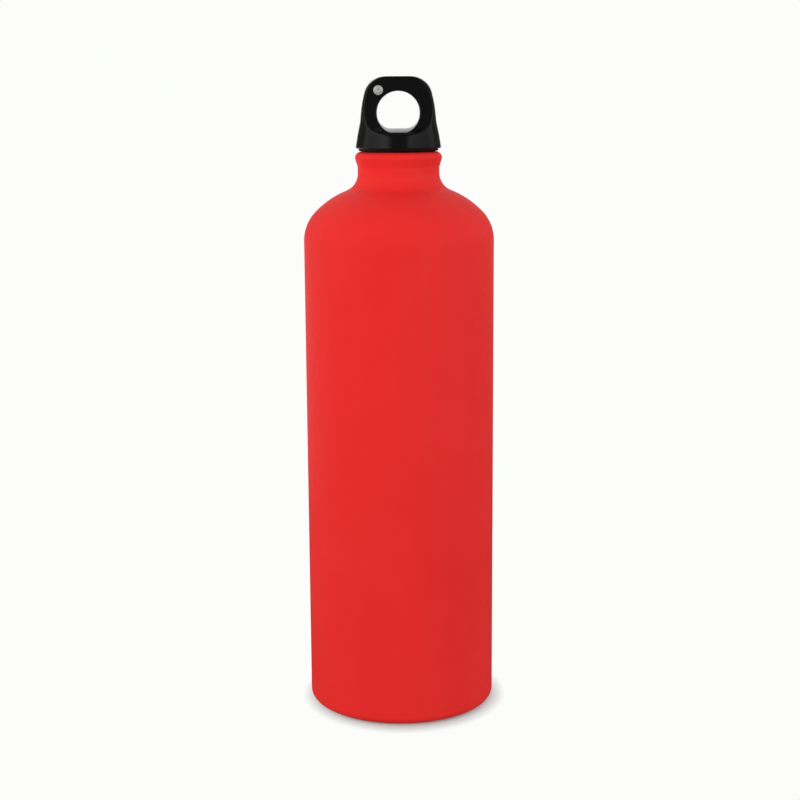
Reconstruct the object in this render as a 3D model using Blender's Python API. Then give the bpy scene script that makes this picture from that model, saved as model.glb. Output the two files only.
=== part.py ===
"""Aluminium drinking bottle with a screw-in loop cap, closed and standing on its foot.

Metres, +Z up. The origin is the centre of the foot, on the bottle's own axis. The loop
of the cap faces along Y, so its finger hole runs front to back.
"""

import math

import bmesh
import bpy
from mathutils import Vector

# Bottle shell: one impact-extruded can, necked in and rolled over at the rim
body_radius = 0.0400
rim_height = 0.2375
wall = 0.0010
foot_corner_radius = 0.0032
foot_inner_radius = 0.0312
base_rise = 0.0055
base_fillet_radius = 0.0040
shoulder_lower_radius = 0.0173
shoulder_lower_angle = math.radians(43.9)
shoulder_full_angle = math.radians(68.3)
neck_fillet_radius = 0.0078
neck_radius = 0.0171
neck_length = 0.0088

# Rolled rim: a bead that leans out of the neck and turns in over the mouth
bead_reach = 0.00108
bead_blend_radius = 0.0020
bead_lean = math.radians(18)
bead_round_share = 0.747
lip_round_share = 0.15
lip_depth = 0.0012

# Clearances between pieces
fit_gap = 0.0003
flank_gap = 0.0004

# Screw thread, shared by the ring in the neck and the plug of the cap
thread_pitch = 0.0040
thread_depth = 0.0010
thread_flank_angle = math.radians(24)
thread_turns = 1.6
insert_wall = 0.0009
insert_length = 0.0120

# Plug of the cap
plug_depth = 0.0110
plug_wall = 0.0016
plug_top_wall = 0.0015
plug_thread_inset = 0.0016
shank_drop = 0.00155
end_disc_thickness = 0.0015
end_disc_ledge = 0.0009

# Seal between the rim and the cap
seal_width = 0.0017
seal_thickness = 0.0020
seal_edge_radius = 0.0004

# Cap body: a skirt that narrows into a loop
cap_rim_wall = 0.00095
cap_lift_over_rim = 0.0013
cap_height = 0.0295
cap_edge_radius = 0.0005
skirt_height = 0.0100
skirt_foot_lean = math.radians(7.5)
skirt_top_lean = math.radians(13.5)
skirt_blend_radius = 0.0120
loop_foot_lean = math.radians(3.5)
loop_top_lean = math.radians(15)
loop_corner_radius = 0.0087
loop_thickness = 0.0088
scoop_radius = 0.0160
scoop_floor_height = 0.0053
socket_depth = 0.0042

# Finger hole through the loop
loop_top_web = 0.00595
hole_floor_height = 0.0064
hole_radius = 0.00945
hole_corner_radius = 0.0064

# Tubular rivet through the loop's corner
rivet_edge_distance = 0.0033
rivet_angle = math.radians(50)
rivet_head_radius = 0.00211
rivet_head_thickness = 0.0007
rivet_shank_radius = 0.0011
rivet_sink = 0.0005
rivet_dimple_depth = 0.0003
rivet_bore_radius = 0.0006
rivet_bore_depth = 0.0030
rivet_flare_radius = 0.0017
washer_radius = 0.00235
washer_thickness = 0.0006

# Fineness of the mesh
shell_segments = 60
turn_segments = 48
small_turn_segments = 20
thread_segments = 36
bend_step = math.radians(10)
cap_bend_step = math.radians(8)
tight_bend_step = math.radians(45)
tight_bend_radius = 0.0010
overrun = 0.0020
weld_distance = 0.000001
smooth_angle = math.radians(30)


# Places that follow from the sizes above
shoulder_radius_left = body_radius - shoulder_lower_radius * (1 - math.cos(shoulder_lower_angle))
neck_fillet_reach = neck_fillet_radius * (1 - math.cos(shoulder_full_angle))
shoulder_upper_radius = (shoulder_radius_left - neck_radius - neck_fillet_reach) / (
    math.cos(shoulder_lower_angle) - math.cos(shoulder_full_angle)
)
shoulder_rise = (
    shoulder_lower_radius * math.sin(shoulder_lower_angle)
    + shoulder_upper_radius * (math.sin(shoulder_full_angle) - math.sin(shoulder_lower_angle))
    + neck_fillet_radius * math.sin(shoulder_full_angle)
)
neck_foot_height = rim_height - neck_length
side_length = neck_foot_height - shoulder_rise - foot_corner_radius

insert_outer_radius = neck_radius - wall - fit_gap
mouth_radius = insert_outer_radius - insert_wall
insert_crest_radius = mouth_radius - thread_depth
insert_top_height = rim_height - lip_depth - fit_gap
plug_crest_radius = mouth_radius - fit_gap
plug_root_radius = plug_crest_radius - thread_depth
plug_end_height = rim_height - plug_depth
thread_start_height = plug_end_height + plug_thread_inset

rim_width = neck_radius + bead_reach - mouth_radius
bead_radius = bead_round_share * rim_width
lip_radius = lip_round_share * rim_width
bead_run = (
    bead_reach - (bead_blend_radius + bead_radius) * (1 - math.cos(bead_lean))
) / math.sin(bead_lean)
bead_height = (
    bead_blend_radius * math.sin(bead_lean)
    + bead_run * math.cos(bead_lean)
    + bead_radius * (math.sin(bead_lean) + 1)
)
neck_run = neck_length - bead_height

seal_bottom_height = rim_height + fit_gap
seal_top_height = seal_bottom_height + seal_thickness
seal_outer_radius = mouth_radius + seal_width
seal_recess_radius = seal_outer_radius + fit_gap
cap_base_radius = seal_recess_radius + cap_rim_wall
cap_base_height = rim_height + cap_lift_over_rim
cap_top_height = cap_base_height + cap_height
socket_top_height = cap_base_height + socket_depth
loop_half_thickness = loop_thickness / 2

hole_centre_height = cap_top_height - loop_top_web - hole_radius
hole_drop = hole_centre_height - cap_base_height - hole_floor_height
hole_bottom_radius = min(hole_corner_radius, hole_drop)
rivet_reach = hole_radius + rivet_edge_distance
rivet_offset = rivet_reach * math.cos(rivet_angle)
rivet_height = hole_centre_height + rivet_reach * math.sin(rivet_angle)


# Outline of turned and extruded shapes
def run(length):
    return ("run", length, 0)


def bend(radius, turn):
    return ("bend", radius, turn)


def trace(start, heading, moves, offset=0, step_angle=bend_step):
    """Points along straight runs and bends, the whole line shifted to its left by offset."""
    across = start[0] - offset * math.sin(heading)
    up = start[1] + offset * math.cos(heading)
    points = [(across, up)]
    for kind, size, turn in moves:
        if kind == "run":
            across += size * math.cos(heading)
            up += size * math.sin(heading)
            points.append((across, up))
            continue
        side = math.copysign(1, turn)
        radius = size - side * offset
        centre = (
            across - side * radius * math.sin(heading),
            up + side * radius * math.cos(heading),
        )
        largest_step = tight_bend_step if size < tight_bend_radius else step_angle
        steps = math.ceil(abs(turn) / largest_step)
        for step in range(1, steps + 1):
            angle = heading + turn * step / steps
            across = centre[0] + side * radius * math.sin(angle)
            up = centre[1] - side * radius * math.cos(angle)
            points.append((across, up))
        heading += turn
    return points


# Colour and finish
def linear(channel):
    return channel / 12.92 if channel <= 0.04045 else ((channel + 0.055) / 1.055) ** 2.4


def finish(name, hex_colour, roughness, metallic=0.0):
    """A Principled material from an sRGB colour written as six hex digits."""
    channels = [int(hex_colour[place : place + 2], 16) / 255 for place in (0, 2, 4)]
    material = bpy.data.materials.new(name)
    material.use_nodes = True
    shader = material.node_tree.nodes["Principled BSDF"]
    shader.inputs["Base Color"].default_value = (*map(linear, channels), 1)
    shader.inputs["Roughness"].default_value = roughness
    shader.inputs["Metallic"].default_value = metallic
    return material


# Meshes and objects
def mesh_object(name, bm, material=None):
    """Welds a bmesh, faces it outwards and makes it an object of the scene."""
    bmesh.ops.remove_doubles(bm, verts=bm.verts, dist=weld_distance)
    bmesh.ops.dissolve_degenerate(bm, edges=bm.edges, dist=weld_distance)
    bmesh.ops.recalc_face_normals(bm, faces=bm.faces)
    mesh = bpy.data.meshes.new(name)
    bm.to_mesh(mesh)
    bm.free()
    mesh.shade_smooth()
    mesh.set_sharp_from_angle(angle=smooth_angle)
    made = bpy.data.objects.new(name, mesh)
    bpy.context.scene.collection.objects.link(made)
    if material:
        mesh.materials.append(material)
    return made


def turned(name, outline, material=None, closed=False, segments=turn_segments):
    """A solid of revolution about Z from an outline of (radius, height) points."""
    bm = bmesh.new()
    verts = [bm.verts.new((radius, 0, height)) for radius, height in outline]
    edges = [bm.edges.new(pair) for pair in zip(verts, verts[1:])]
    if closed:
        edges.append(bm.edges.new((verts[-1], verts[0])))
    bmesh.ops.spin(
        bm,
        geom=verts + edges,
        cent=(0, 0, 0),
        axis=(0, 0, 1),
        dvec=(0, 0, 0),
        angle=math.tau,
        steps=segments,
        use_merge=True,
        use_duplicate=False,
    )
    return mesh_object(name, bm, material)


def extruded(name, outline, direction):
    """A closed outline of points pushed straight along a direction."""
    bm = bmesh.new()
    face = bm.faces.new([bm.verts.new(point) for point in outline])
    pushed = bmesh.ops.extrude_face_region(bm, geom=[face])
    moved = [item for item in pushed["geom"] if isinstance(item, bmesh.types.BMVert)]
    bmesh.ops.translate(bm, verts=moved, vec=direction)
    return mesh_object(name, bm)


def thread_rib(name, root_radius, crest_radius, start_height):
    """One helical rib, sunk a little into the wall that it stands on."""
    outward = math.copysign(1, crest_radius - root_radius)
    middle_half_width = thread_pitch / 4 - flank_gap / 2
    flank = thread_depth * math.tan(thread_flank_angle) / 2
    sink = insert_wall / 3
    slope = flank / (thread_depth / 2)
    root_half_width = middle_half_width + flank + sink * slope
    crest_half_width = middle_half_width - flank
    sunk_radius = root_radius - outward * sink
    corners = (
        (sunk_radius, -root_half_width),
        (crest_radius, -crest_half_width),
        (crest_radius, crest_half_width),
        (sunk_radius, root_half_width),
    )
    bm = bmesh.new()
    section = bm.faces.new(
        [bm.verts.new((radius, 0, start_height + rise)) for radius, rise in corners]
    )
    steps = round(thread_segments * thread_turns)
    bmesh.ops.spin(
        bm,
        geom=[section],
        cent=(0, 0, 0),
        axis=(0, 0, 1),
        dvec=(0, 0, thread_pitch * thread_turns / steps),
        angle=math.tau * thread_turns,
        steps=steps,
        use_merge=False,
        use_duplicate=False,
    )
    return mesh_object(name, bm)


def combine(target, tool, operation):
    """Cuts the tool from the target, or joins it on, and keeps the tool as a hidden guide."""
    tool.hide_render = True
    tool.display_type = "WIRE"
    modifier = target.modifiers.new(tool.name, "BOOLEAN")
    modifier.object = tool
    modifier.operation = operation
    modifier.solver = "EXACT"


def marker(name, place, parent=None):
    """An empty on a joint's axis."""
    empty = bpy.data.objects.new(name, None)
    empty.empty_display_size = body_radius / 2
    bpy.context.scene.collection.objects.link(empty)
    empty.location = place
    if parent:
        ride(empty, parent)
    return empty


def ride(piece, parent):
    """Parents a piece and leaves it where it stands in the world."""
    bpy.context.view_layer.update()
    piece.parent = parent
    piece.matrix_parent_inverse = parent.matrix_world.inverted()


# Bottle
def base_and_side_moves(neck_length_of_side):
    """The bottle's outside from the middle of its base to the neck, as runs and bends."""
    half_angle = math.atan(base_rise / foot_inner_radius)
    base_angle = 2 * half_angle
    dome_radius = foot_inner_radius / math.sin(base_angle) - base_fillet_radius
    foot_width = body_radius - foot_corner_radius - foot_inner_radius
    return [
        bend(dome_radius, -base_angle),
        bend(base_fillet_radius, base_angle),
        run(foot_width),
        bend(foot_corner_radius, math.pi / 2),
        run(side_length),
        bend(shoulder_lower_radius, shoulder_lower_angle),
        bend(shoulder_upper_radius, shoulder_full_angle - shoulder_lower_angle),
        bend(neck_fillet_radius, -shoulder_full_angle),
        run(neck_length_of_side),
    ]


def rim_moves():
    """The rolled rim: out of the neck, round the bead and down the lip of the mouth."""
    return [
        bend(bead_blend_radius, -bead_lean),
        run(bead_run),
        bend(bead_radius, bead_lean + math.pi / 2),
        run(rim_width - bead_radius - lip_radius),
        bend(lip_radius, math.pi / 2),
        run(lip_depth - lip_radius),
    ]


def make_bottle_shell(material):
    base_middle = (0, base_rise)
    outside = trace(base_middle, 0, base_and_side_moves(neck_run) + rim_moves())
    inside = trace(base_middle, 0, base_and_side_moves(neck_length - lip_depth), offset=wall)
    return turned("bottle_shell", outside + inside[::-1], material, segments=shell_segments)


def make_neck_insert(material):
    """The ring with the female thread, trapped under the lip of the rim."""
    bottom = insert_top_height - insert_length
    outline = (
        (mouth_radius, bottom),
        (insert_outer_radius, bottom),
        (insert_outer_radius, insert_top_height),
        (mouth_radius, insert_top_height),
    )
    ring = turned("neck_thread_insert", outline, material, closed=True)
    start = thread_start_height - thread_pitch / 2
    rib = thread_rib("insert_thread_rib", mouth_radius, insert_crest_radius, start)
    combine(ring, rib, "UNION")
    return ring


# Cap
def make_cap_plug(material):
    """The hollow plug with the male thread. It closes on the seal with its shank."""
    shank_bottom = rim_height - shank_drop
    plug_top = socket_top_height - fit_gap
    bore_radius = plug_root_radius - plug_wall
    ledge_radius = bore_radius + end_disc_ledge
    ledge_height = plug_end_height + end_disc_thickness + fit_gap
    outline = (
        (0, plug_top),
        (plug_crest_radius, plug_top),
        (plug_crest_radius, shank_bottom),
        (plug_root_radius, shank_bottom),
        (plug_root_radius, plug_end_height),
        (ledge_radius, plug_end_height),
        (ledge_radius, ledge_height),
        (bore_radius, ledge_height),
        (bore_radius, plug_top - plug_top_wall),
        (0, plug_top - plug_top_wall),
    )
    plug = turned("cap_plug", outline, material)
    rib = thread_rib("plug_thread_rib", plug_root_radius, plug_crest_radius, thread_start_height)
    combine(plug, rib, "UNION")
    return plug


def make_end_disc(material):
    """The disc that closes the plug's open end."""
    radius = plug_root_radius - plug_wall + end_disc_ledge - fit_gap
    top = plug_end_height + end_disc_thickness
    outline = ((0, plug_end_height), (radius, plug_end_height), (radius, top), (0, top))
    return turned("plug_end_disc", outline, material)


def make_seal_ring(material):
    """A flat ring with rounded outer edges, round the plug's shank."""
    moves = [
        run(seal_width - seal_edge_radius),
        bend(seal_edge_radius, math.pi / 2),
        run(seal_thickness - 2 * seal_edge_radius),
        bend(seal_edge_radius, math.pi / 2),
        run(seal_width - seal_edge_radius),
    ]
    outline = trace((mouth_radius, seal_bottom_height), 0, moves)
    return turned("seal_ring", outline, material, closed=True)


def cap_blank_outline():
    """Half of the cap's front view, which is also what the blank is turned from."""
    edge_rise = cap_edge_radius * (1 + math.sin(skirt_foot_lean))
    skirt_radius = (skirt_height - edge_rise) / (math.sin(skirt_top_lean) - math.sin(skirt_foot_lean))
    blend_rise = skirt_blend_radius * (math.sin(skirt_top_lean) - math.sin(loop_foot_lean))
    corner_drop = loop_corner_radius * (1 - math.sin(loop_top_lean))
    side_rise = cap_height - skirt_height - blend_rise - corner_drop
    side_radius = side_rise / (math.sin(loop_top_lean) - math.sin(loop_foot_lean))
    moves = [
        run(cap_base_radius - cap_edge_radius),
        bend(cap_edge_radius, math.pi / 2 + skirt_foot_lean),
        bend(skirt_radius, skirt_top_lean - skirt_foot_lean),
        bend(skirt_blend_radius, loop_foot_lean - skirt_top_lean),
        bend(side_radius, loop_top_lean - loop_foot_lean),
        bend(loop_corner_radius, math.pi / 2 - loop_top_lean),
    ]
    outline = trace((0, cap_base_height), 0, moves, step_angle=cap_bend_step)
    return [*outline, (0, cap_top_height)]


def make_scoop(name, side):
    """The cutter that hollows one face of the cap, front (-1) or back (1), into the loop."""
    floor = cap_base_height + scoop_floor_height
    reach = cap_base_radius + overrun
    above = cap_top_height + overrun
    half_length = cap_base_radius + overrun
    moves = [run(reach), bend(scoop_radius, math.pi / 2), run(above - floor - scoop_radius)]
    start = -loop_half_thickness - scoop_radius - reach
    section = [*trace((start, floor), 0, moves, step_angle=cap_bend_step), (start, above)]
    outline = [(-half_length, -side * along, height) for along, height in section]
    return extruded(name, outline, (2 * half_length, 0, 0))


def make_finger_hole():
    """The cutter for the hole: round above, with a flatter floor between two smaller bends."""
    flat = hole_radius - hole_bottom_radius
    rise = hole_drop - hole_bottom_radius
    moves = [
        run(flat),
        bend(hole_bottom_radius, math.pi / 2),
        run(rise),
        bend(hole_radius, math.pi),
        run(rise),
        bend(hole_bottom_radius, math.pi / 2),
    ]
    floor = hole_centre_height - hole_drop
    depth = cap_base_radius + overrun
    section = trace((0, floor), 0, moves, step_angle=cap_bend_step)
    outline = [(across, -depth, height) for across, height in section]
    return extruded("finger_hole_cutter", outline, (0, 2 * depth, 0))


def make_plug_socket():
    """The cutter for the cap's underside: a recess for the seal, then a socket for the plug."""
    recess_top = seal_top_height + fit_gap
    outline = (
        (0, cap_base_height - overrun),
        (seal_recess_radius, cap_base_height - overrun),
        (seal_recess_radius, recess_top),
        (mouth_radius, recess_top),
        (mouth_radius, socket_top_height),
        (0, socket_top_height),
    )
    return turned("plug_socket_cutter", outline)


def make_rivet_bore():
    """The cutter for the rivet: a bore through the loop with a shallow seat on each face."""
    seat = loop_half_thickness - rivet_sink
    outside = loop_half_thickness + overrun
    bore = rivet_shank_radius + fit_gap
    outline = (
        (0, -outside),
        (washer_radius + fit_gap, -outside),
        (washer_radius + fit_gap, -seat),
        (bore, -seat),
        (bore, seat),
        (rivet_head_radius + fit_gap, seat),
        (rivet_head_radius + fit_gap, outside),
        (0, outside),
    )
    cutter = turned("rivet_bore_cutter", outline, segments=small_turn_segments)
    stand_in_loop(cutter)
    return cutter


def stand_in_loop(piece):
    """Turns a piece made along Z to point out of the loop's front face, at the rivet's place."""
    piece.location = (-rivet_offset, 0, rivet_height)
    piece.rotation_euler = (math.pi / 2, 0, 0)


def make_cap_body(material):
    blank = turned("cap_body", cap_blank_outline(), material)
    for cutter in (
        make_scoop("front_scoop_cutter", -1),
        make_scoop("back_scoop_cutter", 1),
        make_finger_hole(),
        make_plug_socket(),
        make_rivet_bore(),
    ):
        combine(blank, cutter, "DIFFERENCE")
    return blank


def make_loop_rivet(material):
    """A tubular rivet: flat head in front with a dimple, shank, and a flared end behind."""
    seat = loop_half_thickness - rivet_sink + fit_gap
    head_top = seat + rivet_head_thickness
    washer_face = -(seat + washer_thickness + fit_gap)
    tube_wall = rivet_shank_radius - rivet_bore_radius
    tail = washer_face - tube_wall
    outline = (
        (0, head_top - rivet_dimple_depth),
        (rivet_bore_radius, head_top),
        (rivet_head_radius, head_top),
        (rivet_head_radius, seat),
        (rivet_shank_radius, seat),
        (rivet_shank_radius, washer_face),
        (rivet_flare_radius, washer_face),
        (rivet_flare_radius, tail),
        (rivet_bore_radius, tail),
        (rivet_bore_radius, tail + rivet_bore_depth),
        (0, tail + rivet_bore_depth),
    )
    rivet = turned("loop_rivet", outline, material, segments=small_turn_segments)
    stand_in_loop(rivet)
    return rivet


def make_rivet_washer(material):
    """The flat washer that the rivet's flared end bears on."""
    bore = rivet_shank_radius + fit_gap
    face = -(loop_half_thickness - rivet_sink + fit_gap)
    outline = (
        (bore, face),
        (washer_radius, face),
        (washer_radius, face - washer_thickness),
        (bore, face - washer_thickness),
    )
    washer = turned("rivet_washer", outline, material, closed=True, segments=small_turn_segments)
    stand_in_loop(washer)
    return washer


def clear_scene():
    for old in list(bpy.data.objects):
        bpy.data.objects.remove(old)


def make_bottle():
    clear_scene()
    red_coat = finish("red_powder_coat", "E0302E", 0.38)
    ring_metal = finish("turned_aluminium", "C9CBCD", 0.34, metallic=1.0)
    cap_plastic = finish("black_gloss_plastic", "101110", 0.22)
    plug_plastic = finish("black_plug_plastic", "151615", 0.35)
    disc_plastic = finish("black_disc_plastic", "171817", 0.42)
    seal_rubber = finish("black_silicone", "1A1817", 0.60)
    rivet_metal = finish("nickel_plated_steel", "BDBAB4", 0.28, metallic=1.0)
    washer_metal = finish("zinc_plated_steel", "A9A8A4", 0.36, metallic=1.0)

    make_bottle_shell(red_coat)
    make_neck_insert(ring_metal)

    rim_centre = Vector((0, 0, rim_height))
    lift_axis = marker("cap_lift_axis", rim_centre)
    turn_axis = marker("cap_turn_axis", rim_centre, parent=lift_axis)
    ride(make_seal_ring(seal_rubber), lift_axis)
    for piece in (
        make_cap_body(cap_plastic),
        make_cap_plug(plug_plastic),
        make_end_disc(disc_plastic),
        make_loop_rivet(rivet_metal),
        make_rivet_washer(washer_metal),
    ):
        ride(piece, turn_axis)


make_bottle()
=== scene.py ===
# %% [markdown]
# # An aluminium drinking bottle with a screw-in loop cap
#
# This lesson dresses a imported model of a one-litre bottle. The model is the frame: it says
# where every piece is and how the cap moves. The lesson makes a finer mesh for each piece,
# gives each one the finish of the real thing, and ends with a floor, lamps and a camera.
# Lengths are metres and +Z is up.

# %% Load the frame
import math

import bmesh
import bpy
from mathutils import Matrix, Vector


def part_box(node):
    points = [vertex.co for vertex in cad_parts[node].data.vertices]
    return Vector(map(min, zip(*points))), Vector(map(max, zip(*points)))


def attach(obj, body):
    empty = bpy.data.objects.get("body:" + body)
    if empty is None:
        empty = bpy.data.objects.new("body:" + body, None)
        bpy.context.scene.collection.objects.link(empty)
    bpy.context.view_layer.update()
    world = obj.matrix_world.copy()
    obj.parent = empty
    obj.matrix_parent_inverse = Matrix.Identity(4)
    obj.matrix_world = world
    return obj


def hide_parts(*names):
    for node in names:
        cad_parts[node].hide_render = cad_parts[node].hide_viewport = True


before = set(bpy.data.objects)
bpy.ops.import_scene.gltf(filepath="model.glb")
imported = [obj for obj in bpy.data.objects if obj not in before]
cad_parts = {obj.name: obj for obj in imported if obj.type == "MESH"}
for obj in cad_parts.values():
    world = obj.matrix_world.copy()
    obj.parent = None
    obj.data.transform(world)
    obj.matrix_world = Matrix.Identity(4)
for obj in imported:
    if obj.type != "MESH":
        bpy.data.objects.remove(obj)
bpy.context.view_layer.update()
millimetre = 0.001

# %% [markdown]
# ## Camera
#
# The photograph looks down at the bottle by about eleven degrees. A camera could be placed
# by eye, but the outline of a turned body says more: its width at each height gives the
# distance, and the curve of its foot gives the tilt. The numbers below fit it best.

# %% Camera
picture_width = 800
focal_pixels = 1558.44
sensor_width_in_mm = 36
camera_distance = 0.65852
camera_height = 0.25722
camera_pitch = math.radians(10.772)
camera_roll = math.radians(0.3579)

camera_data = bpy.data.cameras.new("camera")
camera_data.sensor_width = sensor_width_in_mm
camera_data.lens = focal_pixels / picture_width * sensor_width_in_mm
camera = bpy.data.objects.new("camera", camera_data)
camera.matrix_world = (
    Matrix.Translation((0, -camera_distance, camera_height))
    @ Matrix.Rotation(math.pi / 2 - camera_pitch, 4, "X")
    @ Matrix.Rotation(-camera_roll, 4, "Z")
)
bpy.context.scene.collection.objects.link(camera)
bpy.context.scene.camera = camera
print(f"lens {camera_data.lens:.1f} mm")

# %% [markdown]
# ## Helpers for materials
#
# Every finish here is a small network of nodes. One function adds a node and sets or links
# its inputs, and another turns the hex colour that a paint card gives into linear light,
# which is what the renderer works in. Two sets of inputs come back often, so they have
# names: the octaves of a fine grain, and the middle values that a noise mostly keeps to.

# %% Add a node, and read a hex colour
fine_grain = {"Detail": 2.0, "Roughness": 0.6}
middle_values = {"From Min": 0.3, "From Max": 0.7}


def linear(channel):
    """The standard's own curve from a screen's value to light."""
    return channel / 12.92 if channel <= 0.04045 else ((channel + 0.055) / 1.055) ** 2.4


def colour(hex_digits):
    """An sRGB colour written as six hex digits, as linear RGBA."""
    channels = [int(hex_digits[place : place + 2], 16) / 255 for place in (0, 2, 4)]
    return (*map(linear, channels), 1)


def add(tree, kind, inputs=None, **settings):
    """Adds a shader node. An input is a value, or the output of another node to link."""
    made = tree.nodes.new("ShaderNode" + kind)
    for name, value in settings.items():
        setattr(made, name, value)
    for name, value in (inputs or {}).items():
        if isinstance(value, bpy.types.NodeSocket):
            tree.links.new(value, made.inputs[name])
        else:
            made.inputs[name].default_value = value
    return made


def new_finish(name, roughness, metallic=0.0):
    """A material with a Principled shader, and the shader and Object coordinates to build on."""
    material = bpy.data.materials.new(name)
    material.use_nodes = True
    tree = material.node_tree
    shader = tree.nodes["Principled BSDF"]
    shader.inputs["Roughness"].default_value = roughness
    shader.inputs["Metallic"].default_value = metallic
    place = add(tree, "TexCoord").outputs["Object"]
    return material, tree, shader, place


def waves_per_metre(wavelength):
    """The Scale of a noise whose bumps are this far apart."""
    return 1 / wavelength


def bumpy_gloss(tree, shader, noise, strength, depth, shiniest, dullest):
    """Lets one noise raise the surface and vary its gloss."""
    height = noise.outputs["Fac"]
    bump = add(tree, "Bump", {"Height": height, "Strength": strength, "Distance": depth})
    levels = {**middle_values, "To Min": shiniest, "To Max": dullest}
    gloss = add(tree, "MapRange", {"Value": height, **levels})
    tree.links.new(gloss.outputs["Result"], shader.inputs["Roughness"])
    tree.links.new(bump.outputs["Normal"], shader.inputs["Normal"])


print(f"the middle grey 808080 sends back {colour('808080')[0]:.0%} of the light")

# %% [markdown]
# ## Helpers for meshes
#
# Nearly every piece of a bottle is turned: a can is spun, a plug is moulded round a core.
# So the outline of a piece is drawn as a pen would, as straight runs and bends. A bend
# always leaves along the line that it came in on, so the surface has no kink that would
# show in a reflection. The offset draws the same line again one wall further in.

# %% Draw an outline
fine_step = math.radians(3)
tight_step = math.radians(10)
tight_radius = 1.2 * millimetre


def run(length):
    return ("run", length, 0)


def bend(radius, turn):
    return ("bend", radius, turn)


def trace(start, heading, moves, offset=0):
    """Points along runs and bends, the whole line shifted to its left by offset."""
    across = start[0] - offset * math.sin(heading)
    up = start[1] + offset * math.cos(heading)
    points = [(across, up)]
    for kind, size, turn in moves:
        if kind == "run":
            across += size * math.cos(heading)
            up += size * math.sin(heading)
            points.append((across, up))
            continue
        side = math.copysign(1, turn)
        radius = size - side * offset
        centre_across = across - side * radius * math.sin(heading)
        centre_up = up + side * radius * math.cos(heading)
        steps = math.ceil(abs(turn) / (tight_step if size < tight_radius else fine_step))
        for step in range(1, steps + 1):
            angle = heading + turn * step / steps
            across = centre_across + side * radius * math.sin(angle)
            up = centre_up - side * radius * math.cos(angle)
            points.append((across, up))
        heading += turn
    return points


print("a quarter bend has", len(trace((0, 0), 0, [bend(1.0, math.pi / 2)])), "points")

# %% [markdown]
# A turned mesh is an edge loop spun about Z. The spin leaves a seam where its last copy
# meets its first, and a point on the axis becomes many, so doubles are merged before the
# normals are made to point outwards.

# %% Turn an outline into a mesh
weld_distance = 0.001 * millimetre
sharp_angle = math.radians(30)


def mesh_object(name, bm):
    """Welds a bmesh, faces it outwards and makes it a smooth-shaded object."""
    bmesh.ops.remove_doubles(bm, verts=bm.verts, dist=weld_distance)
    bmesh.ops.dissolve_degenerate(bm, edges=bm.edges, dist=weld_distance)
    bmesh.ops.recalc_face_normals(bm, faces=bm.faces)
    mesh = bpy.data.meshes.new(name)
    bm.to_mesh(mesh)
    bm.free()
    mesh.shade_smooth()
    mesh.set_sharp_from_angle(angle=sharp_angle)
    made = bpy.data.objects.new(name, mesh)
    bpy.context.scene.collection.objects.link(made)
    return made


def turned(name, outline, segments=192, closed=False):
    """Spins an outline of (radius, height) points about Z."""
    bm = bmesh.new()
    verts = [bm.verts.new((radius, 0, height)) for radius, height in outline]
    edges = [bm.edges.new(pair) for pair in zip(verts, verts[1:])]
    if closed:
        edges.append(bm.edges.new((verts[-1], verts[0])))
    bmesh.ops.spin(
        bm,
        geom=verts + edges,
        cent=(0, 0, 0),
        axis=(0, 0, 1),
        dvec=(0, 0, 0),
        angle=math.tau,
        steps=segments,
        use_merge=True,
        use_duplicate=False,
    )
    return mesh_object(name, bm)


# %% [markdown]
# Modifiers round edges and cut one mesh with another. Their result is made the piece's own
# mesh at once, so the next step measures and changes what is really there. The cuts use the
# manifold solver, which is fast and clean, but does nothing at all on a mesh with a gap.

# %% Cut, round and settle a mesh
def settle(piece):
    """Makes the result of the modifiers the piece's own mesh."""
    bpy.context.view_layer.update()
    settled = piece.evaluated_get(bpy.context.evaluated_depsgraph_get())
    mesh = bpy.data.meshes.new_from_object(settled)
    piece.modifiers.clear()
    piece.data = mesh
    mesh.shade_smooth()
    mesh.set_sharp_from_angle(angle=sharp_angle)
    return piece


def combine(piece, tool, operation):
    """Cuts a tool from a piece or joins it on, and throws the tool away."""
    modifier = piece.modifiers.new("combine", "BOOLEAN")
    modifier.object = tool
    modifier.operation = operation
    modifier.solver = "MANIFOLD"
    settle(piece)
    bpy.data.objects.remove(tool)


def round_edges(piece, width, segments=3, sharper_than=35):
    modifier = piece.modifiers.new("rounded edges", "BEVEL")
    modifier.width = width
    modifier.segments = segments
    modifier.limit_method = "ANGLE"
    modifier.angle_limit = math.radians(sharper_than)
    return settle(piece)


def place_in_mesh(piece, matrix):
    """Moves the mesh and not the object, which stays at the origin."""
    piece.data.transform(matrix)
    return piece


def stands_for(piece, node, body):
    """Makes a finished piece take the place of a node of the frame."""
    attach(piece, body)
    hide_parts(node)
    piece.data.calc_loop_triangles()
    size = [round(length / millimetre, 1) for length in piece.dimensions]
    print(f"{piece.name}: {len(piece.data.loop_triangles)} triangles, {size} mm")


# %% [markdown]
# ## The can
#
# A bottle like this starts as a slug of soft aluminium that is struck into a deep can. The
# can's mouth is necked in by dozens of dies, which gives the shoulder its smooth S, and then
# the rim is rolled over into a bead. The outline has those parts in order: domed base, foot,
# side, shoulder, neck and bead. Its widths come from the frame's own box.

# %% Sizes of the can
can_low, can_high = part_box("bottle_shell")
body_radius = can_high.x
rim_height = can_high.z
wall = 1.0 * millimetre
foot_corner_radius = 3.2 * millimetre
foot_inner_radius = 31.2 * millimetre
base_rise = 5.5 * millimetre
base_fillet_radius = 4.0 * millimetre
shoulder_lower_radius = 17.3 * millimetre
shoulder_lower_angle = math.radians(43.9)
shoulder_full_angle = math.radians(68.3)
neck_fillet_radius = 7.8 * millimetre
neck_radius = 17.1 * millimetre
neck_length = 8.8 * millimetre
bead_reach = 1.08 * millimetre
bead_blend_radius = 2.0 * millimetre
bead_lean = math.radians(18)
bead_round_share = 0.747
lip_round_share = 0.15
lip_depth = 1.2 * millimetre
mouth_radius = 14.9 * millimetre

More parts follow.
